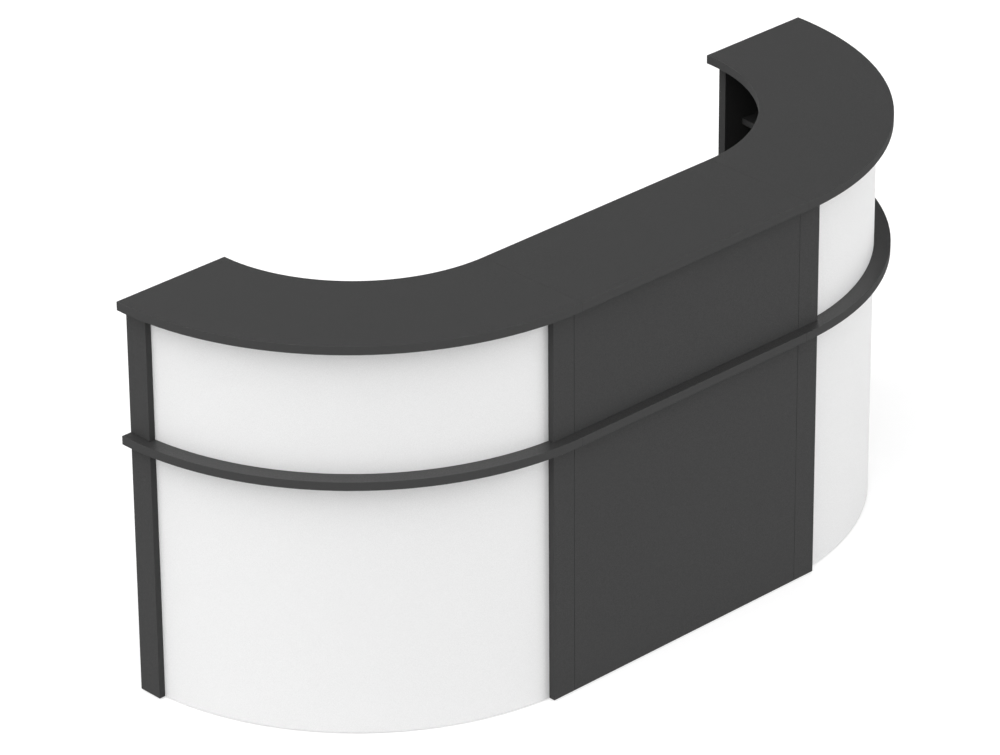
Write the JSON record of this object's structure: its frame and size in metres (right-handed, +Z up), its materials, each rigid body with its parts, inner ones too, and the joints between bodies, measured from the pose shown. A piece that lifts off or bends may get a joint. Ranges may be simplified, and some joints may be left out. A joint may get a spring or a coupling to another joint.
{
  "type": "reception desk",
  "caption": "U-shaped reception desk with curved corner units, a raised visitors' counter over a desk-high worktop, white curved fronts, graphite boards and levelling feet.",
  "frame": {"origin": "on the floor, at the middle of the desk's width and depth", "axes": "+X along the front towards the visitor's right, +Y from the visitors' side to the staff side, +Z up"},
  "size_m": [2.5, 0.8346, 1.154],
  "materials": {
    "graphite_board": "graphite grey melamine on particle board, fine pearl texture, matching edging",
    "white_panel": "bent fibreboard, white melamine outside and graphite backing inside",
    "black_nylon": "moulded black nylon",
    "zinc_steel": "zinc-plated steel"
  },
  "bodies": {
    "carcass": {"left_counter_top": "graphite_board", "left_worktop": "graphite_board", "left_shelf": "graphite_board", "left_bottom_rail": "graphite_board", "left_upper_curved_panel": "white_panel", "left_upper_end_post": "graphite_board", "left_upper_joint_post": "graphite_board", "left_upper_end_gable": "graphite_board", "left_upper_joint_gable": "graphite_board", "left_lower_curved_panel": "white_panel", "left_lower_end_post": "graphite_board", "left_lower_joint_post": "graphite_board", "left_lower_end_gable": "graphite_board", "left_lower_joint_gable": "graphite_board", "left_upper_back_bolt": "zinc_steel", "left_upper_front_bolt": "zinc_steel", "left_lower_back_bolt": "zinc_steel", "left_lower_front_bolt": "zinc_steel", "middle_counter_top": "graphite_board", "middle_worktop": "graphite_board", "middle_shelf": "graphite_board", "middle_upper_front_panel": "graphite_board", "middle_upper_left_gable": "graphite_board", "middle_upper_right_gable": "graphite_board", "middle_lower_front_panel": "graphite_board", "middle_lower_left_gable": "graphite_board", "middle_lower_right_gable": "graphite_board", "right_counter_top": "graphite_board", "right_worktop": "graphite_board", "right_shelf": "graphite_board", "right_bottom_rail": "graphite_board", "right_upper_curved_panel": "white_panel", "right_upper_end_post": "graphite_board", "right_upper_joint_post": "graphite_board", "right_upper_end_gable": "graphite_board", "right_upper_joint_gable": "graphite_board", "right_lower_curved_panel": "white_panel", "right_lower_end_post": "graphite_board", "right_lower_joint_post": "graphite_board", "right_lower_end_gable": "graphite_board", "right_lower_joint_gable": "graphite_board", "right_upper_back_bolt": "zinc_steel", "right_upper_front_bolt": "zinc_steel", "right_lower_back_bolt": "zinc_steel", "right_lower_front_bolt": "zinc_steel"},
    "left_end_back_foot": {"left_end_back_foot": "black_nylon"},
    "left_end_front_foot": {"left_end_front_foot": "black_nylon"},
    "left_joint_back_foot": {"left_joint_back_foot": "black_nylon"},
    "left_joint_front_foot": {"left_joint_front_foot": "black_nylon"},
    "middle_left_back_foot": {"middle_left_back_foot": "black_nylon"},
    "middle_left_front_foot": {"middle_left_front_foot": "black_nylon"},
    "middle_right_back_foot": {"middle_right_back_foot": "black_nylon"},
    "middle_right_front_foot": {"middle_right_front_foot": "black_nylon"},
    "right_end_back_foot": {"right_end_back_foot": "black_nylon"},
    "right_end_front_foot": {"right_end_front_foot": "black_nylon"},
    "right_joint_back_foot": {"right_joint_back_foot": "black_nylon"},
    "right_joint_front_foot": {"right_joint_front_foot": "black_nylon"}
  },
  "joints": [
    {"name": "left_end_back_level", "type": "slide", "parent": "carcass", "child": "left_end_back_foot", "axis": [0, 0, -1], "range_m": [0, 0.015]},
    {"name": "left_end_front_level", "type": "slide", "parent": "carcass", "child": "left_end_front_foot", "axis": [0, 0, -1], "range_m": [0, 0.015]},
    {"name": "left_joint_back_level", "type": "slide", "parent": "carcass", "child": "left_joint_back_foot", "axis": [0, 0, -1], "range_m": [0, 0.015]},
    {"name": "left_joint_front_level", "type": "slide", "parent": "carcass", "child": "left_joint_front_foot", "axis": [0, 0, -1], "range_m": [0, 0.015]},
    {"name": "middle_left_back_level", "type": "slide", "parent": "carcass", "child": "middle_left_back_foot", "axis": [0, 0, -1], "range_m": [0, 0.015]},
    {"name": "middle_left_front_level", "type": "slide", "parent": "carcass", "child": "middle_left_front_foot", "axis": [0, 0, -1], "range_m": [0, 0.015]},
    {"name": "middle_right_back_level", "type": "slide", "parent": "carcass", "child": "middle_right_back_foot", "axis": [0, 0, -1], "range_m": [0, 0.015]},
    {"name": "middle_right_front_level", "type": "slide", "parent": "carcass", "child": "middle_right_front_foot", "axis": [0, 0, -1], "range_m": [0, 0.015]},
    {"name": "right_end_back_level", "type": "slide", "parent": "carcass", "child": "right_end_back_foot", "axis": [0, 0, -1], "range_m": [0, 0.015]},
    {"name": "right_end_front_level", "type": "slide", "parent": "carcass", "child": "right_end_front_foot", "axis": [0, 0, -1], "range_m": [0, 0.015]},
    {"name": "right_joint_back_level", "type": "slide", "parent": "carcass", "child": "right_joint_back_foot", "axis": [0, 0, -1], "range_m": [0, 0.015]},
    {"name": "right_joint_front_level", "type": "slide", "parent": "carcass", "child": "right_joint_front_foot", "axis": [0, 0, -1], "range_m": [0, 0.015]}
  ]
}
